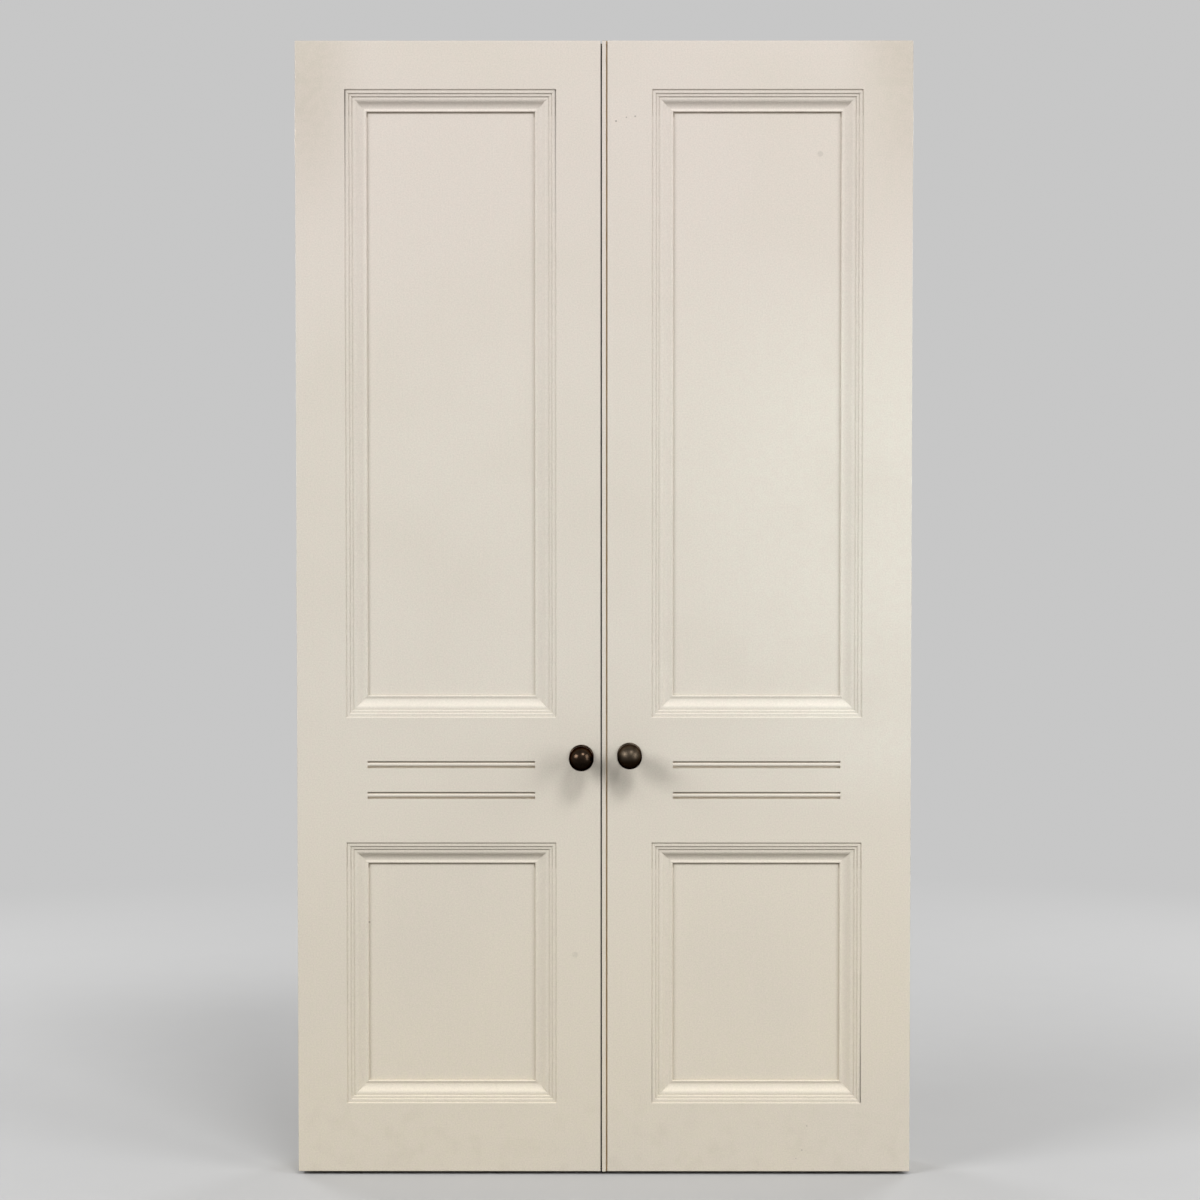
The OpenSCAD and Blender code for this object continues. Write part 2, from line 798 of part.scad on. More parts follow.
// Magnet housing under the head, with an ear at each end
module catch() {
    color(steel) translate([catch_middle, leaf_back + catch_gap, head_foot]) difference() {
        union() {
            translate([-catch_l / 2, 0, -catch_h]) cube([catch_l, catch_d, catch_h]);
            translate([-catch_l / 2 - catch_ear_l, 0, -catch_ear_t])
                cube([catch_l + 2 * catch_ear_l, catch_d, catch_ear_t]);
        }
        translate([-catch_middle, -leaf_back - catch_gap, -head_foot]) at_catch_screws() small_screw_hole();
    }
}

module catch_screws() {
    color(steel) for (side = SIDES) on_side(side) at_catch_screws() small_screw();
}

head();
threshold();
frame_screws();
hinge_frame_screws();
catch_screws();
on_side("left") left_gap_seal();
on_side("right") right_meeting_bead();
for (side = SIDES) {
    jamb(side);
    on_side(side) catch();
    on_side(side) hanging_stile();
    on_side(side) meeting_stile(side);
    on_side(side) top_rail();
    on_side(side) lock_rail(side);
    on_side(side) bottom_rail();
    on_side(side) panel(upper_opening_z);
    on_side(side) panel(lower_opening_z);
    on_side(side) moulding(upper_opening_z);
    on_side(side) moulding(lower_opening_z);
    on_side(side) reeds();
    on_side(side) rose(side);
    on_side(side) knob(side);
    on_side(side) knob_bolt(side);
    on_side(side) strike();
    on_side(side) leaf_screws();
    for (hinge = HINGES) {
        name = str(side, "_", hinge[0], "_hinge");
        place = [0, hinge_y, hinge[1]];
        on_side(side) translate(place) {
            hinge_plate(true);
            hinge_plate(false);
            hinge_pin();
        }
    }
}
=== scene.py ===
"""Finished look of a pair of panelled doors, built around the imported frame.

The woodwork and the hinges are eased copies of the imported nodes, and the knobs are turned anew.
Metres: +X is to the right seen from the front, +Y points from the front to the back, +Z is up.
"""

import logging
import math
from dataclasses import dataclass, field
from enum import Enum
from typing import Callable

import bmesh
import bpy
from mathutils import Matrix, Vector


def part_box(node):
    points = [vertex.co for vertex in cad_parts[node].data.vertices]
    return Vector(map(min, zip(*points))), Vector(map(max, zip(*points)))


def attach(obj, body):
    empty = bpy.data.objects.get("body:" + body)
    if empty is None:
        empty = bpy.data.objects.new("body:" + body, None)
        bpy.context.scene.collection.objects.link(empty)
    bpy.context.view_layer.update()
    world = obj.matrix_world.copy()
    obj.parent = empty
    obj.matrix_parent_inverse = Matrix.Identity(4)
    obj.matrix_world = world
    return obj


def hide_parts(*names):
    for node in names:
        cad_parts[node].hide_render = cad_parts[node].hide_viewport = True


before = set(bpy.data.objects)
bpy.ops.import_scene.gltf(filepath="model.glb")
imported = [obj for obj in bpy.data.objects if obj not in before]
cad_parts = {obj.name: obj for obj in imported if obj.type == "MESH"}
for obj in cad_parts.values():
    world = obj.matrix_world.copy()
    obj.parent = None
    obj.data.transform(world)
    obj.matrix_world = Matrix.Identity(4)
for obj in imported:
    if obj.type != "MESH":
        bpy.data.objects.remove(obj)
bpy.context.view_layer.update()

Colour = tuple[float, float, float]
Point = tuple[float, float, float]
Pair = tuple[float, float]
Outline = list[Pair]
Plane = tuple[int, float]
EdgeTest = Callable[[bmesh.types.BMEdge], bool]
Split = tuple[EdgeTest, float]

LOG = logging.getLogger("doors")
X, Y, Z = 0, 1, 2
MERGE = 5e-6
ON_PLANE = 2e-5
FLAT_ANGLE = math.radians(0.5)
SMOOTH_ANGLE = math.radians(35)
SHARP_ANGLE = math.radians(60)
MIX_FACTOR, MIX_A, MIX_B, MIX_RESULT = 0, 6, 7, 2


class Side(Enum):
    """The two sides of the pair, by the sign of x."""

    LEFT = -1
    RIGHT = 1

    def node(self, part: str) -> str:
        """Name of this side's node for a part."""
        return f"{self.name.lower()}_{part}"

    @property
    def body(self) -> str:
        """Name of the body that this side's leaf is."""
        return self.node("leaf")


class BrushRun(Enum):
    """Way the paint was brushed, as the stretch of its streaks along x, y and z."""

    UPRIGHT = (1.0, 1.0, 0.03)
    ACROSS = (0.03, 1.0, 1.0)


class DirtAndShade(Enum):
    """Where dirt and painted shade are laid on a painted piece."""

    NONE = "none"
    STEPS = "steps"
    PANEL_EDGE = "panel edge"
    REED = "reed"
    QUIRK = "quirk"
    GAP = "gap"


@dataclass(frozen=True)
class Clouds:
    """A cloudy noise: clouds in a metre, number of finer layers and their strength."""

    scale: float
    detail: float = 2.0
    rough: float = 0.5


class Wire:
    """A value in a shader graph. Arithmetic on it adds Math nodes."""

    def __init__(self, graph: "Graph", socket: bpy.types.NodeSocket) -> None:
        """Keeps the graph and the socket that the value comes from."""
        self.graph = graph
        self.socket = socket

    def math(self, operation: str, *values: "Wire | float") -> "Wire":
        """Adds one Math node.

        Args:
            operation: the Math node's operation.
            values: the node's inputs in order.

        Returns:
            The node's result.
        """
        inputs = dict(enumerate(values))
        return self.graph.node("ShaderNodeMath", 0, inputs, operation=operation)

    def __add__(self, other: "Wire | float") -> "Wire":
        """Sum."""
        return self.math("ADD", self, other)

    def __radd__(self, other: float) -> "Wire":
        """Sum with a number in front."""
        return self.math("ADD", other, self)

    def __sub__(self, other: "Wire | float") -> "Wire":
        """Difference."""
        return self.math("SUBTRACT", self, other)

    def __rsub__(self, other: float) -> "Wire":
        """Difference from a number."""
        return self.math("SUBTRACT", other, self)

    def __mul__(self, other: "Wire | float") -> "Wire":
        """Product."""
        return self.math("MULTIPLY", self, other)

    def __rmul__(self, other: float) -> "Wire":
        """Product with a number in front."""
        return self.math("MULTIPLY", other, self)

    def __abs__(self) -> "Wire":
        """Size without sign."""
        return self.math("ABSOLUTE", self)

    def at_least(self, other: "Wire | float") -> "Wire":
        """The larger of two values."""
        return self.math("MAXIMUM", self, other)

    def at_most(self, other: "Wire | float") -> "Wire":
        """The smaller of two values."""
        return self.math("MINIMUM", self, other)

    def fade(self, start: float, end: float) -> "Wire":
        """Runs smoothly from 0 to 1.

        Args:
            start: the value at which the result is 0.
            end: the value at which the result is 1, above or below start.

        Returns:
            The faded value.
        """
        ends = {"Value": self, "From Min": min(start, end), "From Max": max(start, end)}
        risen = self.graph.node("ShaderNodeMapRange", "Result", ends, interpolation_type="SMOOTHSTEP")
        return risen if end > start else 1 - risen


class Graph:
    """A node tree that is filled from Python expressions."""

    def __init__(self, tree: bpy.types.NodeTree) -> None:
        """Takes over a node tree and empties it."""
        self.tree = tree
        tree.nodes.clear()

    def node(self, kind: str, output: str | int, inputs: dict, **settings: object) -> Wire:
        """Adds any node.

        Args:
            kind: the node's type.
            output: name or number of the output that is wanted.
            inputs: values or wires by socket name or number.
            settings: the node's own settings, which are set first.

        Returns:
            The wanted output.
        """
        made = self.tree.nodes.new(kind)
        for name, value in settings.items():
            setattr(made, name, value)
        for socket, value in inputs.items():
            if isinstance(value, Wire):
                self.tree.links.new(value.socket, made.inputs[socket])
            else:
                made.inputs[socket].default_value = value
        return Wire(self, made.outputs[output])

    def place(self) -> Wire:
        """The point on the piece, in the shared frame at rest."""
        return self.node("ShaderNodeTexCoord", "Object", {})

    def split(self, point: Wire) -> tuple[Wire, Wire, Wire]:
        """The x, y and z of a point."""
        x = self.node("ShaderNodeSeparateXYZ", "X", {"Vector": point})
        return x, Wire(self, x.socket.node.outputs["Y"]), Wire(self, x.socket.node.outputs["Z"])

    def stretch(self, point: Wire, by: Point) -> Wire:
        """A point with each axis multiplied."""
        return self.node("ShaderNodeVectorMath", "Vector", {0: point, 1: by}, operation="MULTIPLY")

    def scale(self, colour: Wire, by: Wire | float) -> Wire:
        """A colour made lighter or darker."""
        return self.node("ShaderNodeVectorMath", "Vector", {0: colour, "Scale": by}, operation="SCALE")

    def blend(self, factor: Wire | float, low: Wire | Colour, high: Wire | Colour) -> Wire:
        """Mixes two colours.

        Args:
            factor: 0 for low, 1 for high.
            low: the first colour.
            high: the second colour.

        Returns:
            The mixed colour.
        """
        ends = {MIX_A: low, MIX_B: high}
        solid = {key: (*value, 1.0) if isinstance(value, tuple) else value for key, value in ends.items()}
        return self.node("ShaderNodeMix", MIX_RESULT, {MIX_FACTOR: factor, **solid}, data_type="RGBA")

    def noise(self, point: Wire, clouds: Clouds) -> Wire:
        """Cloudy noise from 0 to 1.

        Args:
            point: where it is read.
            clouds: size and layers of the clouds.

        Returns:
            The noise.
        """
        inputs = {"Vector": point, "Scale": clouds.scale, "Detail": clouds.detail, "Roughness": clouds.rough}
        return self.node("ShaderNodeTexNoise", 0, inputs)

    def bump(self, height: Wire, strength: float, distance: float) -> Wire:
        """A normal that follows a height."""
        inputs = {"Height": height, "Strength": strength, "Distance": distance}
        return self.node("ShaderNodeBump", "Normal", inputs)

    def finish(self, shader: Wire, kind: str = "ShaderNodeOutputMaterial") -> None:
        """Sends a shader to the output of a material or a world."""
        end = self.tree.nodes.new(kind)
        self.tree.links.new(shader.socket, end.inputs["Surface"])


@dataclass(frozen=True)
class Layout:
    """Places that the woodwork shares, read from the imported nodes."""

    outer: float
    front: float
    back: float
    foot: float
    top: float
    opening_inner: float
    opening_outer: float
    lower_opening: Pair
    upper_opening: Pair
    panel_front: float
    gap_middle: float
    moulding_w: float
    reed_tops: Pair

    @classmethod
    def read(cls) -> "Layout":
        """Reads the places from the left leaf, whose mirror image the right leaf is."""
        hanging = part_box("left_hanging_stile")
        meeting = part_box("left_meeting_stile")
        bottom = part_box("left_bottom_rail")
        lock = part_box("left_lock_rail")
        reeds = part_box("left_reeds")
        leaf_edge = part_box("right_meeting_stile")[0].x
        heights = sorted(vert.co.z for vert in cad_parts["left_reeds"].data.vertices)
        between = max(zip(heights, heights[1:]), key=lambda pair: pair[1] - pair[0])
        return cls(
            outer=-hanging[0].x,
            front=hanging[0].y,
            back=hanging[1].y,
            foot=hanging[0].z,
            top=hanging[1].z,
            opening_inner=-meeting[0].x,
            opening_outer=-hanging[1].x,
            lower_opening=(bottom[1].z, lock[0].z),
            upper_opening=(lock[1].z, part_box("left_top_rail")[0].z),
            panel_front=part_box("left_upper_panel")[0].y,
            gap_middle=(-leaf_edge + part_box("right_meeting_bead")[0].x) / 2,
            moulding_w=reeds[0].x - hanging[1].x,
            reed_tops=(between[0], heights[-1]),
        )

    @property
    def openings(self) -> tuple[Pair, Pair]:
        """Both openings' lower and upper edges."""
        return self.lower_opening, self.upper_opening

    def inset(self, point: Vector) -> float:
        """Distance of a point in from the nearest edge of an opening, negative on the framing."""
        across = min(abs(point.x) - self.opening_inner, self.opening_outer - abs(point.x))
        up = max(min(point.z - low, high - point.z) for low, high in self.openings)
        return min(across, up)


@dataclass(frozen=True)
class Mark:
    """A small mark in the paint, by its place on the front and its radius."""

    x: float
    z: float
    radius: float
    strength: float


MARKS = (
    Mark(0.0242, 2.1310, 0.0022, 0.60),
    Mark(0.0450, 2.1385, 0.0018, 0.50),
    Mark(0.0626, 2.1405, 0.0022, 0.50),
    Mark(0.4360, 2.0680, 0.0070, 0.16),
    Mark(-0.0586, 0.4490, 0.0075, 0.12),
    Mark(0.4020, 0.0500, 0.0022, 0.35),
    Mark(0.4120, 0.0995, 0.0018, 0.35),
    Mark(0.3900, 0.0330, 0.0016, 0.30),
    Mark(-0.4770, 0.5125, 0.0020, 0.60),
)


@dataclass(frozen=True)
class CreamPaint:
    """Brushed satin oil paint, yellower towards the foot, with dirt and painted shade in its corners.

    A pair of numbers says where a change starts and where it is complete.
    """

    name: str
    layout: Layout
    run: BrushRun = BrushRun.UPRIGHT
    # Which dirt and painted shade this piece carries.
    dirt_and_shade_kind: DirtAndShade = DirtAndShade.NONE
    # Pinker and a little darker towards the top, yellower towards the foot; the foot tone is also lifted a
    # little to make up for dimmer lamp light there, which is painted light.
    middle: Colour = (0.700, 0.658, 0.575)
    high: Colour = (0.690, 0.628, 0.566)
    high_z: Pair = (1.35, 2.15)
    low: Colour = (0.704, 0.643, 0.522)
    low_z: Pair = (1.15, 0.10)
    # Painted light: a lighter patch over the middle of the right leaf, standing in for a pool of lamp light.
    lit_patch: Colour = (0.752, 0.722, 0.634)
    lit_patch_x: Pair = (0.0, 0.55)
    lit_patch_low: Pair = (0.70, 0.95)
    lit_patch_high: Pair = (1.95, 1.45)
    # Painted shade: the outer top corners of the leaves darker and yellower, where the light falls off.
    corner: Colour = (0.545, 0.490, 0.412)
    corner_shade_share: float = 0.80
    corner_shade_x: Pair = (0.46, 0.60)
    corner_shade_z: Pair = (1.85, 2.25)
    shaded: Colour = (0.655, 0.606, 0.520)
    shaded_share: float = 0.50
    shaded_clouds: Clouds = Clouds(2.6, 3.0)
    shaded_cover: Pair = (0.42, 0.72)
    # Brown used for scuffs near the foot, which is dirt, and for lines in corners, which are mostly painted
    # shade.
    dirt_and_shade_tone: Colour = (0.190, 0.138, 0.072)
    scuff_share: float = 0.08
    scuff_z: Pair = (0.30, 0.0)
    scuff_clouds: Clouds = Clouds(30.0, 4.0)
    scuff_cover: Pair = (0.45, 0.80)
    rosy: Colour = (0.720, 0.620, 0.560)
    rosy_share: float = 0.20
    rosy_clouds: Clouds = Clouds(55.0)
    rosy_cover: Pair = (0.35, 0.65)
    streak_clouds: Clouds = Clouds(150.0, 3.0)
    peel_clouds: Clouds = Clouds(330.0, 3.0, 0.65)
    plain_tone: float = 0.83
    peel_tone: float = 0.32
    streak_tone: float = 0.02
    peel_height: float = 0.9
    streak_height: float = 0.1
    bump: float = 0.25
    bump_depth: float = 0.0006
    roughness: float = 0.52
    streak_roughness: float = 0.12
    speck: Colour = (0.120, 0.100, 0.075)
    speck_core: float = 0.3
    front_fade: float = 0.002
    # Dust on the top, dark enough to be partly painted shade that keeps the lamp-lit top from glaring.
    dust_and_shade: Colour = (0.340, 0.315, 0.270)
    dust_share: float = 0.85
    dust_t: float = 0.0010
    dust_roughness: float = 0.35
    patch_clouds: Clouds = Clouds(38.0, 3.0)
    patch_least: float = 0.45
    patch_range: float = 0.75
    # Painted shade with some dirt: dark lines at the moulding steps, along the panel edge and over reed
    # tops.
    step_shade: tuple[Pair, ...] = ((0.0, 0.75), (0.0075, 0.50), (0.0135, 0.45))
    step_shade_w: float = 0.0018
    step_start: float = 0.0001
    panel_shadow: float = 1.00
    panel_shadow_w: float = 0.0040
    open_shade: float = 0.15
    shade_reach: Pair = (1.3, 1.15)
    golden: Colour = (0.540, 0.360, 0.150)
    groove_share: float = 0.90
    groove_depth: Pair = (0.0012, 0.0042)
    groove_end: Pair = (0.0200, 0.0150)
    quirk_side: Pair = (0.0, 0.002)
    reed_shadow: float = 0.90
    reed_line: Pair = (0.0030, 0.0014)
    # Painted shade: near-black on the lip deep in the gap between the leaves.
    painted_gap_shade: Colour = (0.040, 0.025, 0.011)
    gap_shade_depth: Pair = (0.022, 0.027)
    gap_end: Pair = (0.036, 0.032)
    gap_shade_w: Pair = (0.0015, 0.0010)

    def inset(self, x: Wire, z: Wire) -> Wire:
        """The layout's inset, as nodes.

        Args:
            x: the point's x.
            z: the point's z.

        Returns:
            Distance in from the nearest edge of an opening.
        """
        side = abs(x)
        across = (side - self.layout.opening_inner).at_most(self.layout.opening_outer - side)
        heights = [(z - low).at_most(high - z) for low, high in self.layout.openings]
        return across.at_most(heights[0].at_least(heights[1]))

    def front(self, y: Wire) -> Wire:
        """1 on the front of a leaf and 0 behind the faces of its panels."""
        return y.fade(self.layout.panel_front + self.front_fade, self.layout.panel_front)

    def patchy(self, graph: Graph, place: Wire) -> Wire:
        """Uneven strength of the dirt and of the painted shade."""
        return self.patch_least + self.patch_range * graph.noise(place, self.patch_clouds)

    def shade_under_rails(self, z: Wire) -> Wire:
        """Share of the painted shade on a moulding, most of it under a rail, where shadows fall.

        Args:
            z: the point's z.

        Returns:
            1 close under a rail, and less along the sides and the foot of an opening.
        """
        reach = [share * self.layout.moulding_w for share in self.shade_reach]
        near = [abs(high - z).fade(*reach) for _, high in self.layout.openings]
        return self.open_shade + (1 - self.open_shade) * near[0].at_least(near[1])

    def dirt_and_shade_lines(self, graph: Graph, place: Wire) -> Wire | None:
        """Share of the brown laid as painted shade, with some dirt, in corners, panel edges and reed tops.

        Args:
            graph: the graph that gets the nodes.
            place: the point on the piece.

        Returns:
            The share of the brown, or None for a piece without it.
        """
        x, y, z = graph.split(place)
        # Painted shade with some dirt: dark lines at the steps, strongest under a rail.
        if self.dirt_and_shade_kind is DirtAndShade.STEPS:
            inset = self.inset(x, z)
            lines = [
                share * inset.fade(step + self.step_shade_w, step) * inset.fade(step - self.step_start, step)
                for step, share in self.step_shade
            ]
            strongest = lines[0].at_least(lines[1]).at_least(lines[2])
            return self.patchy(graph, place) * self.shade_under_rails(z) * strongest
        # Painted shadow along the panel's edge under the moulding's nose.
        if self.dirt_and_shade_kind is DirtAndShade.PANEL_EDGE:
            foot = self.layout.moulding_w
            edge = self.inset(x, z).fade(foot + self.panel_shadow_w, foot)
            return self.patchy(graph, place) * self.panel_shadow * self.shade_under_rails(z) * edge * self.front(y)
        # Painted shadow over the top of each reed, where the groove above it is shaded.
        if self.dirt_and_shade_kind is DirtAndShade.REED:
            lines = [abs(top - z).fade(*self.reed_line) for top in self.layout.reed_tops]
            depth = y - self.layout.front
            return self.reed_shadow * lines[0].at_least(lines[1]) * depth.fade(*self.groove_depth)
        return None

    def groove(self, graph: Graph, place: Wire) -> Wire:
        """Share of the golden dirt in the groove beside a bead or a reed.

        Args:
            graph: the graph that gets the nodes.
            place: the point on the piece.

        Returns:
            The share of the golden colour.
        """
        x, y, _ = graph.split(place)
        depth = y - self.layout.front
        shown = depth.fade(*self.groove_depth) * depth.fade(*self.groove_end)
        if self.dirt_and_shade_kind is DirtAndShade.QUIRK:
            shown = shown * x.fade(*self.quirk_side)
        return (self.groove_share * self.patchy(graph, place) * shown).at_most(1.0)

    def gap(self, graph: Graph, place: Wire) -> Wire:
        """Share of the near-black painted shade on the lip deep in the gap between the leaves.

        Args:
            graph: the graph that gets the nodes.
            place: the point on the piece.

        Returns:
            The share of the painted shade.
        """
        x, y, _ = graph.split(place)
        depth = y - self.layout.front
        # Painted shade: near-black on the lip deep in the gap.
        lip = depth.fade(*self.gap_shade_depth) * depth.fade(*self.gap_end)
        return abs(x - self.layout.gap_middle).fade(*self.gap_shade_w) * lip

    def dusty(self, z: Wire) -> Wire:
        """Share of the dust on the top of the doors, dark enough to be partly painted shade on the lit top.
        """
        return self.dust_share * z.fade(self.layout.top - self.dust_t, self.layout.top)

    def marks(self, graph: Graph, place: Wire) -> Wire:
        """Specks and filled holes on the front.

        Args:
            graph: the graph that gets the nodes.
            place: the point on the piece.

        Returns:
            The share of the speck colour.
        """
        x, y, z = graph.split(place)
        shown = None
        for mark in MARKS:
            square = (x - mark.x) * (x - mark.x) + (z - mark.z) * (z - mark.z)
            spot = mark.strength * square.fade(mark.radius**2, self.speck_core * mark.radius**2)
            shown = spot if shown is None else shown.at_least(spot)
        return shown * self.front(y)

    def aged(self, graph: Graph, place: Wire) -> Wire:
        """Colour of the paint: tones by height, clouds, scuffs, painted light and painted shade.

        Args:
            graph: the graph that gets the nodes.
            place: the point on the piece.

        Returns:
            The colour, before brush marks, specks, dirt and painted shade.
        """
        x, _, z = graph.split(place)
        # Painted light: the lighter patch over the middle of the right leaf.
        lit_patch_share = x.fade(*self.lit_patch_x) * z.fade(*self.lit_patch_low) * z.fade(*self.lit_patch_high)
        # Painted shade: darker outer top corners.
        corner = self.corner_shade_share * z.fade(*self.corner_shade_z) * abs(x).fade(*self.corner_shade_x)
        shade = self.shaded_share * graph.noise(place, self.shaded_clouds).fade(*self.shaded_cover)
        rubbed = graph.noise(place, self.scuff_clouds).fade(*self.scuff_cover)
        scuffs = self.scuff_share * (z.fade(*self.scuff_z) * rubbed)
        blush = self.rosy_share * graph.noise(place, self.rosy_clouds).fade(*self.rosy_cover)
        tone = graph.blend(z.fade(*self.high_z), self.middle, self.high)
        tone = graph.blend(z.fade(*self.low_z), tone, self.low)
        tone = graph.blend(lit_patch_share, tone, self.lit_patch)
        tone = graph.blend(corner, tone, self.corner)
        tone = graph.blend(shade, tone, self.shaded)
        tone = graph.blend(scuffs, tone, self.dirt_and_shade_tone)
        return graph.blend(blush, tone, self.rosy)

    def with_dirt_and_shade(self, graph: Graph, place: Wire, tone: Wire) -> Wire:
        """Lays this piece's specks, dirt and painted shade over its colour.

        Args:
            graph: the graph that gets the nodes.
            place: the point on the piece.
            tone: the colour of the paint.

        Returns:
            The colour with specks, dirt and painted shade.
        """
        tone = graph.blend(self.marks(graph, place), tone, self.speck)
        if self.dirt_and_shade_kind in (DirtAndShade.REED, DirtAndShade.QUIRK):
            tone = graph.blend(self.groove(graph, place), tone, self.golden)
        if self.dirt_and_shade_kind is DirtAndShade.GAP:
            tone = graph.blend(self.gap(graph, place), tone, self.painted_gap_shade)
        dirt_and_shade_lines = self.dirt_and_shade_lines(graph, place)
        return tone if dirt_and_shade_lines is None else graph.blend(dirt_and_shade_lines, tone, self.dirt_and_shade_tone)

    def make(self) -> bpy.types.Material:
        """Makes the material.

        Returns:
            The new material.
        """
        material = bpy.data.materials.new(self.name)
        material.use_nodes = True
        graph = Graph(material.node_tree)
        place = graph.place()
        streaks = graph.noise(graph.stretch(place, self.run.value), self.streak_clouds)
        peel = graph.noise(place, self.peel_clouds)
        brushed = self.plain_tone + self.peel_tone * peel + self.streak_tone * streaks
        tone = self.with_dirt_and_shade(graph, place, graph.scale(self.aged(graph, place), brushed))
        # The top is darkened by dust, partly painted shade.
        dusty = self.dusty(graph.split(place)[Z])
        height = self.peel_height * peel + self.streak_height * streaks
        shader = graph.node("ShaderNodeBsdfPrincipled", "BSDF", {
            "Base Color": graph.blend(dusty, tone, self.dust_and_shade),
            "Roughness": self.roughness + self.streak_roughness * streaks + self.dust_roughness * dusty,
            "Normal": graph.bump(height, self.bump, self.bump_depth),
        })
        graph.finish(shader)
        return material


@dataclass(frozen=True)
class Metal:
    """A worn metal: a bright and a dull colour in clouds, fine scratches, and painted shade low down if
    given.
    """

    name: str
    bright: Colour
    dull: Colour
    roughness: float
    edge: Colour = (1.0, 1.0, 1.0)
    smudge: float = 0.12
    # Painted shade over the lower part, standing in for a dark reflection.
    lower_shade: Colour = (0.0, 0.0, 0.0)
    lower_shade_z: Pair | None = None
    dull_clouds: Clouds = Clouds(60.0, 4.0, 0.6)
    dull_cover: Pair = (0.35, 0.68)
    grit_clouds: Clouds = Clouds(900.0, 3.0)
    grit_share: float = 0.5
    bump: float = 0.08
    bump_depth: float = 0.0004

    def make(self) -> bpy.types.Material:
        """Makes the material.

        Returns:
            The new material.
        """
        material = bpy.data.materials.new(self.name)
        material.use_nodes = True
        graph = Graph(material.node_tree)
        place = graph.place()
        clouds = graph.noise(place, self.dull_clouds)
        grit = graph.noise(place, self.grit_clouds)
        tone = graph.blend(clouds.fade(*self.dull_cover), self.bright, self.dull)
        # Painted shade: the lower part darkens, standing in for the dark floor that it reflects.
        if self.lower_shade_z is not None:
            _, _, z = graph.split(place)
            tone = graph.blend(z.fade(*self.lower_shade_z), tone, self.lower_shade)
        height = self.grit_share * grit + (1 - self.grit_share) * clouds
        shader = graph.node("ShaderNodeBsdfPrincipled", "BSDF", {
            "Base Color": tone,
            "Metallic": 1.0,
            "Roughness": self.roughness + self.smudge * clouds,
            "Specular Tint": (*self.edge, 1.0),
            "Normal": graph.bump(height, self.bump, self.bump_depth),
        })
        graph.finish(shader)
        return material


@dataclass(frozen=True)
class MattPlastic:
    """Moulded plastic or rubber with a fine grain."""

    name: str
    colour: Colour = (0.75, 0.72, 0.65)
    worn: Colour = (0.66, 0.61, 0.50)
    worn_clouds: Clouds = Clouds(90.0)
    worn_cover: Pair = (0.4, 0.7)
    grain_clouds: Clouds = Clouds(1400.0)
    roughness: float = 0.5
    grain_roughness: float = 0.2
    bump: float = 0.15
    bump_depth: float = 0.0003

    def make(self) -> bpy.types.Material:
        """Makes the material.

        Returns:
            The new material.
        """
        material = bpy.data.materials.new(self.name)
        material.use_nodes = True
        graph = Graph(material.node_tree)
        place = graph.place()
        grain = graph.noise(place, self.grain_clouds)
        wear = graph.noise(place, self.worn_clouds).fade(*self.worn_cover)
        shader = graph.node("ShaderNodeBsdfPrincipled", "BSDF", {
            "Base Color": graph.blend(wear, self.colour, self.worn),
            "Roughness": self.roughness + self.grain_roughness * grain,
            "Normal": graph.bump(grain, self.bump, self.bump_depth),
        })
        graph.finish(shader)
        return material


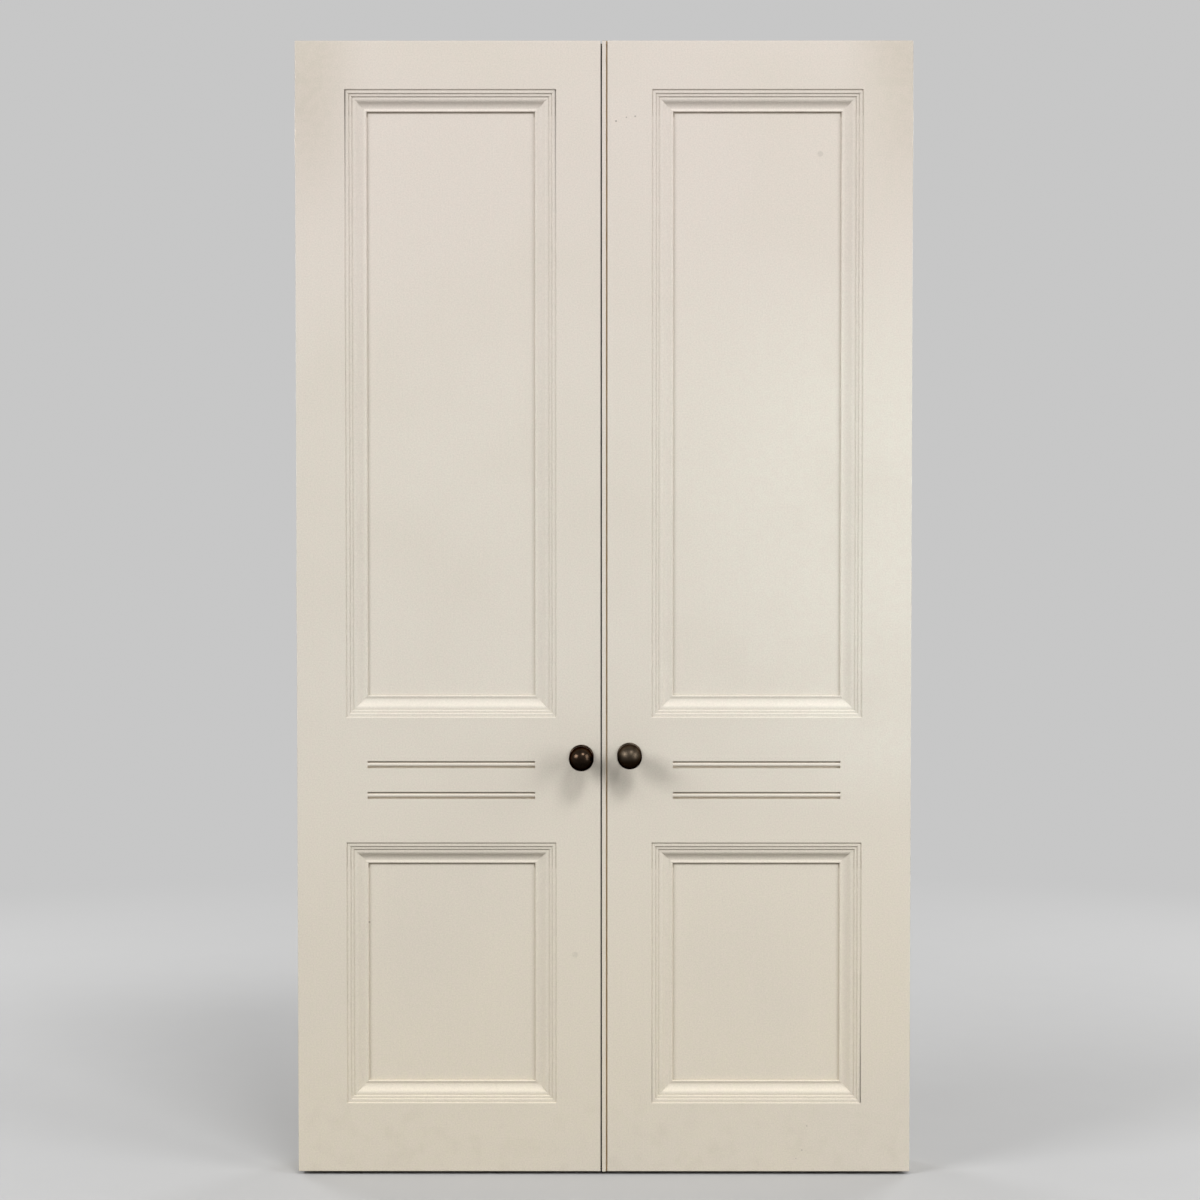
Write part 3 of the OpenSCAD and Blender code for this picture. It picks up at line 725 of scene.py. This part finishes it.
@dataclass
class Finishes:
    """Every material of the doors, made once."""

    layout: Layout
    shade_start: float = 0.35
    shade_end: float = -0.45
    upright: bpy.types.Material = field(init=False)
    across: bpy.types.Material = field(init=False)
    moulding: bpy.types.Material = field(init=False)
    panel: bpy.types.Material = field(init=False)
    reed: bpy.types.Material = field(init=False)
    bead: bpy.types.Material = field(init=False)
    meeting: bpy.types.Material = field(init=False)
    bronze: dict[Side, bpy.types.Material] = field(init=False)
    brass: bpy.types.Material = field(init=False)
    steel: bpy.types.Material = field(init=False)
    plastic: bpy.types.Material = field(init=False)
    rubber: bpy.types.Material = field(init=False)

    def __post_init__(self) -> None:
        """Makes the materials."""
        self.upright = CreamPaint("cream_paint_upright", self.layout).make()
        self.across = CreamPaint("cream_paint_across", self.layout, BrushRun.ACROSS).make()
        # The moulding, panel, reed and meeting paints carry painted shade; reed and bead paints also carry
        # groove dirt.
        self.moulding = CreamPaint("cream_paint_moulding", self.layout, dirt_and_shade_kind=DirtAndShade.STEPS).make()
        self.panel = CreamPaint("cream_paint_panel", self.layout, dirt_and_shade_kind=DirtAndShade.PANEL_EDGE).make()
        self.reed = CreamPaint("cream_paint_reed", self.layout, dirt_and_shade_kind=DirtAndShade.REED).make()
        self.bead = CreamPaint("cream_paint_bead", self.layout, dirt_and_shade_kind=DirtAndShade.QUIRK).make()
        self.meeting = CreamPaint("cream_paint_meeting", self.layout, dirt_and_shade_kind=DirtAndShade.GAP).make()
        self.bronze = {
            # Each knob gets painted shade over its lower part.
            Side.LEFT: Metal(
                "polished_bronze", (0.046, 0.030, 0.020), (0.027, 0.018, 0.012), 0.15, (0.30, 0.21, 0.16),
                lower_shade=(0.009, 0.006, 0.004), lower_shade_z=self.knob_shade(Side.LEFT),
            ).make(),
            Side.RIGHT: Metal(
                "satin_bronze", (0.085, 0.066, 0.048), (0.050, 0.038, 0.027), 0.34, (0.26, 0.20, 0.16),
                lower_shade=(0.015, 0.009, 0.005), lower_shade_z=self.knob_shade(Side.RIGHT),
            ).make(),
        }
        self.brass = Metal("aged_brass", (0.46, 0.33, 0.14), (0.25, 0.165, 0.07), 0.38, smudge=0.2).make()
        self.steel = Metal("plain_steel", (0.40, 0.39, 0.38), (0.28, 0.27, 0.26), 0.42, smudge=0.15).make()
        self.plastic = MattPlastic("cream_plastic").make()
        self.rubber = MattPlastic("dark_rubber", (0.018, 0.016, 0.014), (0.012, 0.011, 0.010)).make()

    def knob_shade(self, side: Side) -> Pair:
        """Heights between which a knob darkens as painted shade, for the dark floor its underside reflects.
        """
        low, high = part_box(side.node("knob"))
        axis = (low.z + high.z) / 2
        radius = high.z - axis
        return axis + self.shade_start * radius, axis + self.shade_end * radius


def on_planes(edge: bmesh.types.BMEdge, planes: list[Plane]) -> int:
    """Counts the planes that an edge lies on.

    Args:
        edge: the edge.
        planes: axis and place of each plane.

    Returns:
        The number of planes.
    """
    return sum(all(abs(vert.co[axis] - at) < ON_PLANE for vert in edge.verts) for axis, at in planes)


def set_finish(mesh: bpy.types.Mesh, material: bpy.types.Material) -> None:
    """Makes a material the only one of a mesh."""
    mesh.materials.clear()
    mesh.materials.append(material)


def dress_node(node: str, material: bpy.types.Material) -> None:
    """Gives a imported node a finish.

    Args:
        node: the node's name.
        material: its finish.
    """
    set_finish(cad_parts[node].data, material)
    LOG.info("%s keeps its shape and is finished in %s", node, material.name)


def add_piece(
    name: str, made: bmesh.types.BMesh, body: str, slot: str, material: bpy.types.Material, *nodes: str
) -> None:
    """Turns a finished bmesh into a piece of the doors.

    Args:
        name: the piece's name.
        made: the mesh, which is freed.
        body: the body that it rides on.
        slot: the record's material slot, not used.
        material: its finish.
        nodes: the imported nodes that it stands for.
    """
    for face in made.faces:
        face.smooth = True
    mesh = bpy.data.meshes.new(name)
    made.to_mesh(mesh)
    made.free()
    if "custom_normal" in mesh.attributes:
        mesh.attributes.remove(mesh.attributes["custom_normal"])
    mesh.set_sharp_from_angle(angle=SMOOTH_ANGLE)
    piece = bpy.data.objects.new(name, mesh)
    bpy.context.scene.collection.objects.link(piece)
    weighted = piece.modifiers.new("even_normals", "WEIGHTED_NORMAL")
    weighted.keep_sharp = True
    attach(piece, body)
    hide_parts(*nodes)
    set_finish(mesh, material)
    LOG.info("%s rides on %s, %d faces", name, body, len(mesh.polygons))


@dataclass(frozen=True)
class Arris:
    """One kind of edge that is rounded, and how far."""

    width: float
    picks: EdgeTest
    segments: int = 3

    def round(self, made: bmesh.types.BMesh) -> None:
        """Rounds the edges of this kind."""
        picked = [edge for edge in made.edges if self.picks(edge)]
        bmesh.ops.bevel(
            made, geom=picked, offset=self.width, offset_type="OFFSET", segments=self.segments, profile=0.5,
            affect="EDGES", clamp_overlap=False, material=-1,
        )


@dataclass(frozen=True)
class Ease:
    """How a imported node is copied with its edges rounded."""

    arrises: tuple[Arris, ...] = ()
    splits: tuple[Split, ...] = ()

    def copy(self, node: str) -> bmesh.types.BMesh:
        """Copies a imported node, merges it and rounds its edges.

        Args:
            node: the node's name.

        Returns:
            The eased copy.
        """
        made = bmesh.new()
        made.from_mesh(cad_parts[node].data)
        bmesh.ops.remove_doubles(made, verts=made.verts[:], dist=MERGE)
        bmesh.ops.dissolve_limit(made, angle_limit=FLAT_ANGLE, verts=made.verts[:], edges=made.edges[:])
        for split in self.splits:
            split_edges(made, *split)
        for arris in self.arrises:
            arris.round(made)
        return made


def split_edges(made: bmesh.types.BMesh, picks: EdgeTest, height: float) -> None:
    """Puts a point on each upright edge of a kind where it passes a height.

    Args:
        made: the mesh.
        picks: tells which edges are split.
        height: the height of the new point.
    """
    for edge in [edge for edge in made.edges if picks(edge)]:
        low, high = sorted(edge.verts, key=lambda vert: vert.co.z)
        if low.co.z + ON_PLANE < height < high.co.z - ON_PLANE:
            bmesh.utils.edge_split(edge, low, (height - low.co.z) / (high.co.z - low.co.z))


def middle(edge: bmesh.types.BMEdge) -> Vector:
    """The middle of an edge."""
    return (edge.verts[0].co + edge.verts[1].co) / 2


def box_edges(node: str, width: float, shortest: float, segments: int = 3) -> Arris:
    """Makes the arris of the edges where two faces of a node's own box meet.

    Args:
        node: the node's name.
        width: how far the edges are rounded.
        shortest: edges no longer than this are left.
        segments: number of faces across the round.

    Returns:
        The arris.
    """
    planes = [(axis, corner[axis]) for axis in (X, Y, Z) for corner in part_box(node)]

    def picks(edge: bmesh.types.BMEdge) -> bool:
        """Tells the long edges that lie on two planes of the box."""
        return edge.calc_length() > shortest and on_planes(edge, planes) > 1

    return Arris(width, picks, segments)


@dataclass
class Leaf:
    """One leaf: its framing, panels, mouldings, reeds and small fixings."""

    side: Side
    layout: Layout
    finishes: Finishes
    outer_round: float = 0.0018
    opening_round: float = 0.0019
    moulding_round: float = 0.0018
    nose_round: float = 0.0017
    nose_segments: int = 4
    lip_round: float = 0.0003
    stop: float = 0.001
    shortest: float = 0.02
    slot: str = "painted_wood"

    def at_outside(self, edge: bmesh.types.BMEdge) -> bool:
        """Tells the long edges round the outside of the leaf."""
        is_long = edge.calc_length() > self.shortest
        point = middle(edge)
        face = min(abs(point.y - self.layout.front), abs(point.y - self.layout.back)) < ON_PLANE
        side = abs(abs(point.x) - self.layout.outer) < ON_PLANE
        end = min(abs(point.z - self.layout.foot), abs(point.z - self.layout.top)) < ON_PLANE
        return is_long and side + end + face > 1

    def at_meeting(self, edge: bmesh.types.BMEdge) -> bool:
        """Tells the upright edges of the meeting stile that face the other leaf."""
        near = abs(middle(edge).x) < self.layout.opening_inner - self.shortest
        return near and edge.is_convex and edge.calc_length() > self.layout.top / 2

    def upright_arris(self, edge: bmesh.types.BMEdge) -> bool:
        """Tells the upright front edges beside the openings."""
        point = middle(edge)
        sides = (self.layout.opening_inner, self.layout.opening_outer)
        at_opening = min(abs(abs(point.x) - side) for side in sides)
        upright = abs(edge.verts[0].co.x - edge.verts[1].co.x) < ON_PLANE
        return upright and at_opening < ON_PLANE and on_planes(edge, [(Y, self.layout.front)]) == 1

    def beside_opening(self, edge: bmesh.types.BMEdge) -> bool:
        """Tells the part of an upright arris that a rail doesn't cover."""
        height = middle(edge).z
        return self.upright_arris(edge) and any(low < height < high for low, high in self.layout.openings)

    def across_arris(self, edge: bmesh.types.BMEdge) -> bool:
        """Tells the level front edges of a rail beside an opening."""
        point = middle(edge)
        at_opening = min(abs(point.z - at) for opening in self.layout.openings for at in opening)
        return at_opening < ON_PLANE and on_planes(edge, [(Y, self.layout.front)]) == 1

    def moulding_arris(self, edge: bmesh.types.BMEdge) -> bool:
        """Tells the long sharp arrises of a moulding, between the framing and the panel."""
        if edge.calc_length() < self.shortest or not edge.is_manifold or not edge.is_convex:
            return False
        point = middle(edge)
        shown = point.y < self.layout.panel_front - self.stop and self.layout.inset(point) > self.stop
        return shown and edge.calc_face_angle() > SHARP_ANGLE and not self.at_nose(edge)

    def at_nose(self, edge: bmesh.types.BMEdge) -> bool:
        """Tells the long arris of a moulding's nose, beside the panel."""
        point = middle(edge)
        beside = abs(self.layout.inset(point) - self.layout.moulding_w) < ON_PLANE
        raised = point.y < self.layout.panel_front - self.stop
        return beside and raised and edge.calc_length() > self.shortest

    def add(self, part: str, ease: Ease, material: bpy.types.Material) -> None:
        """Adds an eased copy of one of this leaf's nodes.

        Args:
            part: the node's name without its side.
            ease: how its edges are rounded.
            material: its finish.
        """
        node = self.side.node(part)
        add_piece(f"{node}_eased", ease.copy(node), self.side.body, self.slot, material, node)

    def build(self) -> None:
        """Makes and dresses the leaf."""
        ends = []
        for low, high in self.layout.openings:
            ends += [low, low - self.stop, high, high + self.stop]
        outside = Arris(self.outer_round, self.at_outside)
        lip = Arris(self.lip_round, self.at_meeting)
        splits = tuple((self.upright_arris, height) for height in ends)
        stile = Ease((outside, lip, Arris(self.opening_round, self.beside_opening)), splits)
        rail = Ease((outside, Arris(self.opening_round, self.across_arris)))
        nose = Arris(self.nose_round, self.at_nose, self.nose_segments)
        moulding = Ease((Arris(self.moulding_round, self.moulding_arris), nose))
        self.add("hanging_stile", stile, self.finishes.upright)
        self.add("meeting_stile", stile, self.finishes.meeting)
        for part in ("top_rail", "lock_rail", "bottom_rail"):
            self.add(part, rail, self.finishes.across)
        for part in ("upper_moulding", "lower_moulding"):
            self.add(part, moulding, self.finishes.moulding)
        self.add("reeds", Ease(), self.finishes.reed)
        if self.side is Side.RIGHT:
            self.add("meeting_bead", Ease(), self.finishes.bead)
        self.dress()

    def dress(self) -> None:
        """Gives the nodes that stay their finishes."""
        for part in ("upper_panel", "lower_panel"):
            dress_node(self.side.node(part), self.finishes.panel)
        dress_node(self.side.node("knob_bolt"), self.finishes.steel)
        dress_node(self.side.node("leaf_screws"), self.finishes.brass)
        if self.side is Side.LEFT:
            dress_node("left_gap_seal", self.finishes.rubber)


@dataclass
class KnobSet:
    """A turned ball knob and its rose."""

    side: Side
    layout: Layout
    material: bpy.types.Material
    turn_steps: int = 96
    arc_steps: int = 30
    rim_steps: int = 10
    collar_steps: int = 6
    ball_r: float = 0.025
    reach: float = 0.044
    neck_r: float = 0.009
    waist_r: float = 0.0082
    collar_r: float = 0.0135
    collar_t: float = 0.003
    collar_round: float = 0.0011
    rose_r: float = 0.025
    rose_t: float = 0.005
    rose_rim: float = 0.003
    dimple_r: float = 0.0009
    dimple_d: float = 0.0005
    dimple_floor: float = 0.6

    def axis(self) -> Vector:
        """Where the knob's axis meets the face of the leaf."""
        low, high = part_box(self.side.node("knob"))
        return Vector(((low.x + high.x) / 2, self.layout.front, (low.z + high.z) / 2))

    @staticmethod
    def arc(centre: Pair, r: float, start: float, end: float, steps: int) -> Outline:
        """Points on an arc of a profile.

        Args:
            centre: radius and height of the arc's centre.
            r: the arc's radius.
            start: first angle in degrees, from straight out towards the front.
            end: last angle in degrees.
            steps: number of steps.

        Returns:
            Radius and height of each point.
        """
        turns = [math.radians(start + (end - start) * step / steps) for step in range(steps + 1)]
        return [(centre[0] + r * math.cos(turn), centre[1] + r * math.sin(turn)) for turn in turns]

    def rose_profile(self) -> Outline:
        """Outline of the rose, from its foot to the collar."""
        rim_centre = (self.rose_r - self.rose_rim, self.rose_t - self.rose_rim)
        rim = self.arc(rim_centre, self.rose_rim, 0, 90, self.rim_steps)
        return [(0.0, 0.0), (self.rose_r, 0.0), *rim, (0.0, self.rose_t)]

    def knob_profile(self) -> Outline:
        """Outline of the collar, the waisted neck and the ball."""
        top = self.rose_t + self.collar_t
        collar_centre = (self.collar_r - self.collar_round, top - self.collar_round)
        collar = self.arc(collar_centre, self.collar_round, 0, 90, self.collar_steps)
        meet = math.degrees(math.acos(self.neck_r / self.ball_r))
        ball_foot = self.reach - self.ball_r * math.sin(math.radians(meet))
        neck = [(self.neck_r, top), (self.waist_r, (top + ball_foot) / 2)]
        ball = self.arc((0.0, self.reach), self.ball_r, -meet, 90, self.arc_steps)
        front = self.reach + self.ball_r
        if self.side is Side.RIGHT:
            last = math.degrees(math.acos(self.dimple_r / self.ball_r))
            ball = self.arc((0.0, self.reach), self.ball_r, -meet, last, self.arc_steps)
            dimple = front - self.dimple_d
            ball += [(self.dimple_r * self.dimple_floor, dimple), (0.0, dimple)]
        return [(0.0, self.rose_t), (self.collar_r, self.rose_t), *collar, *neck, *ball]

    def turned(self, profile: Outline) -> bmesh.types.BMesh:
        """Turns a profile about the knob's axis.

        Args:
            profile: radius and height of each point.

        Returns:
            The turned mesh.
        """
        start = self.axis()
        made = bmesh.new()
        verts = [made.verts.new(start + Vector((r, -height, 0))) for r, height in profile]
        edges = [made.edges.new(pair) for pair in zip(verts, verts[1:])]
        bmesh.ops.spin(
            made, geom=verts + edges, cent=start, axis=(0, -1, 0), dvec=(0, 0, 0), angle=math.tau,
            steps=self.turn_steps, use_merge=True, use_duplicate=False,
        )
        bmesh.ops.remove_doubles(made, verts=made.verts[:], dist=MERGE)
        bmesh.ops.recalc_face_normals(made, faces=made.faces[:])
        return made

    def build(self) -> None:
        """Makes and dresses the knob and its rose."""
        slot = self.side.node("bronze")
        for part, profile in (("rose", self.rose_profile()), ("knob", self.knob_profile())):
            node = self.side.node(part)
            add_piece(f"{node}_turned", self.turned(profile), self.side.body, slot, self.material, node)


@dataclass
class HingeSet:
    """Three butt hinges of one side, half on the leaf and half on the frame, with the strike."""

    side: Side
    finishes: Finishes
    plate_round: float = 0.0003
    plate_shortest: float = 0.02
    strike_round: float = 0.0004
    strike_shortest: float = 0.01
    segments: int = 2

    def build(self) -> None:
        """Makes and dresses the hinges and the strike."""
        brass, steel = self.finishes.brass, self.finishes.steel
        for height in ("top", "middle", "bottom"):
            for part, body in (("leaf_plate", self.side.body), ("frame_plate", "frame"), ("pin", "frame")):
                node = self.side.node(f"{height}_hinge_{part}")
                edges = box_edges(node, self.plate_round, self.plate_shortest, self.segments)
                ease = Ease() if part == "pin" else Ease((edges,))
                add_piece(f"{node}_eased", ease.copy(node), body, "hinge_brass", brass, node)
        node = self.side.node("strike")
        ease = Ease((box_edges(node, self.strike_round, self.strike_shortest, self.segments),))
        add_piece(f"{node}_eased", ease.copy(node), self.side.body, "strike_steel", steel, node)


@dataclass
class DoorFrame:
    """The frame behind the leaves, with its catches and screws."""

    finishes: Finishes
    wood_round: float = 0.0012
    wood_shortest: float = 0.03
    catch_round: float = 0.0006
    catch_shortest: float = 0.003

    def build(self) -> None:
        """Makes and dresses the frame."""
        upright, across, plastic = self.finishes.upright, self.finishes.across, self.finishes.plastic
        wood = {"left_jamb": upright, "right_jamb": upright, "head": across, "threshold": across}
        for node, material in wood.items():
            ease = Ease((box_edges(node, self.wood_round, self.wood_shortest),))
            add_piece(f"{node}_eased", ease.copy(node), "frame", "painted_wood", material, node)
        for node in ("left_catch", "right_catch"):
            ease = Ease((box_edges(node, self.catch_round, self.catch_shortest),))
            add_piece(f"{node}_eased", ease.copy(node), "frame", "catch_plastic", plastic, node)
        dress_node("frame_screws", self.finishes.steel)
        dress_node("catch_screws", self.finishes.steel)
        dress_node("hinge_frame_screws", self.finishes.brass)


@dataclass(frozen=True)
class Lamp:
    """A soft rectangular lamp, aimed at the middle of the doors."""

    name: str
    place: Point
    power: float
    width: float
    height: float
    aim: Point = (0.0, -0.09, 1.15)

    def build(self) -> None:
        """Hangs the lamp."""
        light = bpy.data.lights.new(self.name, "AREA")
        light.shape = "RECTANGLE"
        light.size = self.width
        light.size_y = self.height
        light.energy = self.power
        lamp = bpy.data.objects.new(self.name, light)
        lamp.location = self.place
        lamp.rotation_euler = (Vector(self.aim) - Vector(self.place)).to_track_quat("-Z", "Y").to_euler()
        lamp.visible_camera = False
        bpy.context.scene.collection.objects.link(lamp)


@dataclass
class Studio:
    """Pale floor, soft light and the camera."""

    floor_r: float = 9.0
    floor_z: float = -0.0005
    floor_sides: int = 96
    floor_colour: Colour = (0.47, 0.47, 0.47)
    floor_shade: float = 0.97
    floor_clouds: Clouds = Clouds(6.0)
    floor_roughness: float = 0.8
    floor_bounce: Colour = (0.13, 0.125, 0.115)
    fade: Pair = (1.5, 4.5)
    backdrop: Colour = (0.57, 0.57, 0.57)
    fill: float = 0.24
    lens: float = 74.3
    sensor: float = 36.0
    eye: Point = (0.0, -5.091, 1.316)
    look: Point = (-0.008, -0.091, 1.1687)
    lamps: tuple[Lamp, ...] = (
        Lamp("main_lamp", (5.78, -14.4, 19.5), 2000.0, 7.0, 5.0),
        Lamp("left_lamp", (-7.8, -5.6, 5.6), 675.0, 5.0, 4.0),
        Lamp("right_lamp", (8.1, -4.5, 5.4), 300.0, 5.0, 4.0),
        Lamp("right_panel", (3.9, -2.8, 1.5), 51.0, 1.8, 2.0),
        Lamp("left_back_lamp", (-5.0, 6.0, 2.4), 270.0, 3.0, 2.6),
        Lamp("right_back_lamp", (4.4, 6.4, 2.2), 250.0, 3.0, 2.6),
    )

    def seen(self, graph: Graph) -> Wire:
        """1 for the camera and for what metal reflects, 0 for the light that falls on the doors."""
        camera = graph.node("ShaderNodeLightPath", "Is Camera Ray", {})
        outputs = camera.socket.node.outputs
        glossy = Wire(graph, outputs["Is Glossy Ray"])
        return camera.at_least(glossy).at_least(Wire(graph, outputs["Is Transmission Ray"]))

    def light_world(self) -> None:
        """Fills the world with even light, and shows the backdrop's colour."""
        world = bpy.data.worlds.new("studio")
        world.use_nodes = True
        bpy.context.scene.world = world
        graph = Graph(world.node_tree)
        fill = graph.node("ShaderNodeBackground", 0, {"Color": (1, 1, 1, 1), "Strength": self.fill})
        shown = graph.node("ShaderNodeBackground", 0, {"Color": (*self.backdrop, 1), "Strength": 1.0})
        mixed = graph.node("ShaderNodeMixShader", 0, {0: self.seen(graph), 1: fill, 2: shown})
        graph.finish(mixed, "ShaderNodeOutputWorld")

    def lay_floor(self) -> None:
        """Lays a round floor whose far part fades into the backdrop."""
        material = bpy.data.materials.new("pale_floor")
        material.use_nodes = True
        graph = Graph(material.node_tree)
        place = graph.place()
        x, y, _ = graph.split(place)
        far = (x * x + y * y).fade(self.fade[0] ** 2, self.fade[1] ** 2)
        seen = self.seen(graph)
        shade = tuple(self.floor_shade * channel for channel in self.floor_colour)
        mottled = graph.blend(graph.noise(place, self.floor_clouds), self.floor_colour, shade)
        tone = graph.blend(seen, self.floor_bounce, mottled)
        look = {"Base Color": tone, "Roughness": self.floor_roughness}
        near = graph.node("ShaderNodeBsdfPrincipled", "BSDF", look)
        shown = graph.node("ShaderNodeEmission", 0, {"Color": (*self.backdrop, 1)})
        graph.finish(graph.node("ShaderNodeMixShader", 0, {0: far * seen, 1: near, 2: shown}))
        made = bmesh.new()
        bmesh.ops.create_circle(made, cap_ends=True, segments=self.floor_sides, radius=self.floor_r)
        bmesh.ops.translate(made, verts=made.verts[:], vec=(0, 0, self.floor_z))
        mesh = bpy.data.meshes.new("floor")
        made.to_mesh(mesh)
        made.free()
        mesh.materials.append(material)
        floor = bpy.data.objects.new("floor", mesh)
        bpy.context.scene.collection.objects.link(floor)

    def set_camera(self) -> None:
        """Sets the camera where the photograph was taken from."""
        lens = bpy.data.cameras.new("camera")
        lens.lens = self.lens
        lens.sensor_width = self.sensor
        camera = bpy.data.objects.new("camera", lens)
        camera.location = self.eye
        camera.rotation_euler = (Vector(self.look) - Vector(self.eye)).to_track_quat("-Z", "Y").to_euler()
        bpy.context.scene.collection.objects.link(camera)
        bpy.context.scene.camera = camera

    def build(self) -> None:
        """Sets up the studio."""
        bpy.context.scene.view_settings.view_transform = "Standard"
        self.set_camera()
        self.light_world()
        self.lay_floor()
        for lamp in self.lamps:
            lamp.build()


def main() -> None:
    """Builds the doors and the studio."""
    logging.basicConfig(level=logging.INFO, format="%(message)s")
    layout = Layout.read()
    finishes = Finishes(layout)
    Studio().build()
    DoorFrame(finishes).build()
    for side in Side:
        Leaf(side, layout, finishes).build()
        KnobSet(side, layout, finishes.bronze[side]).build()
        HingeSet(side, finishes).build()


if __name__ == "__main__":
    main()
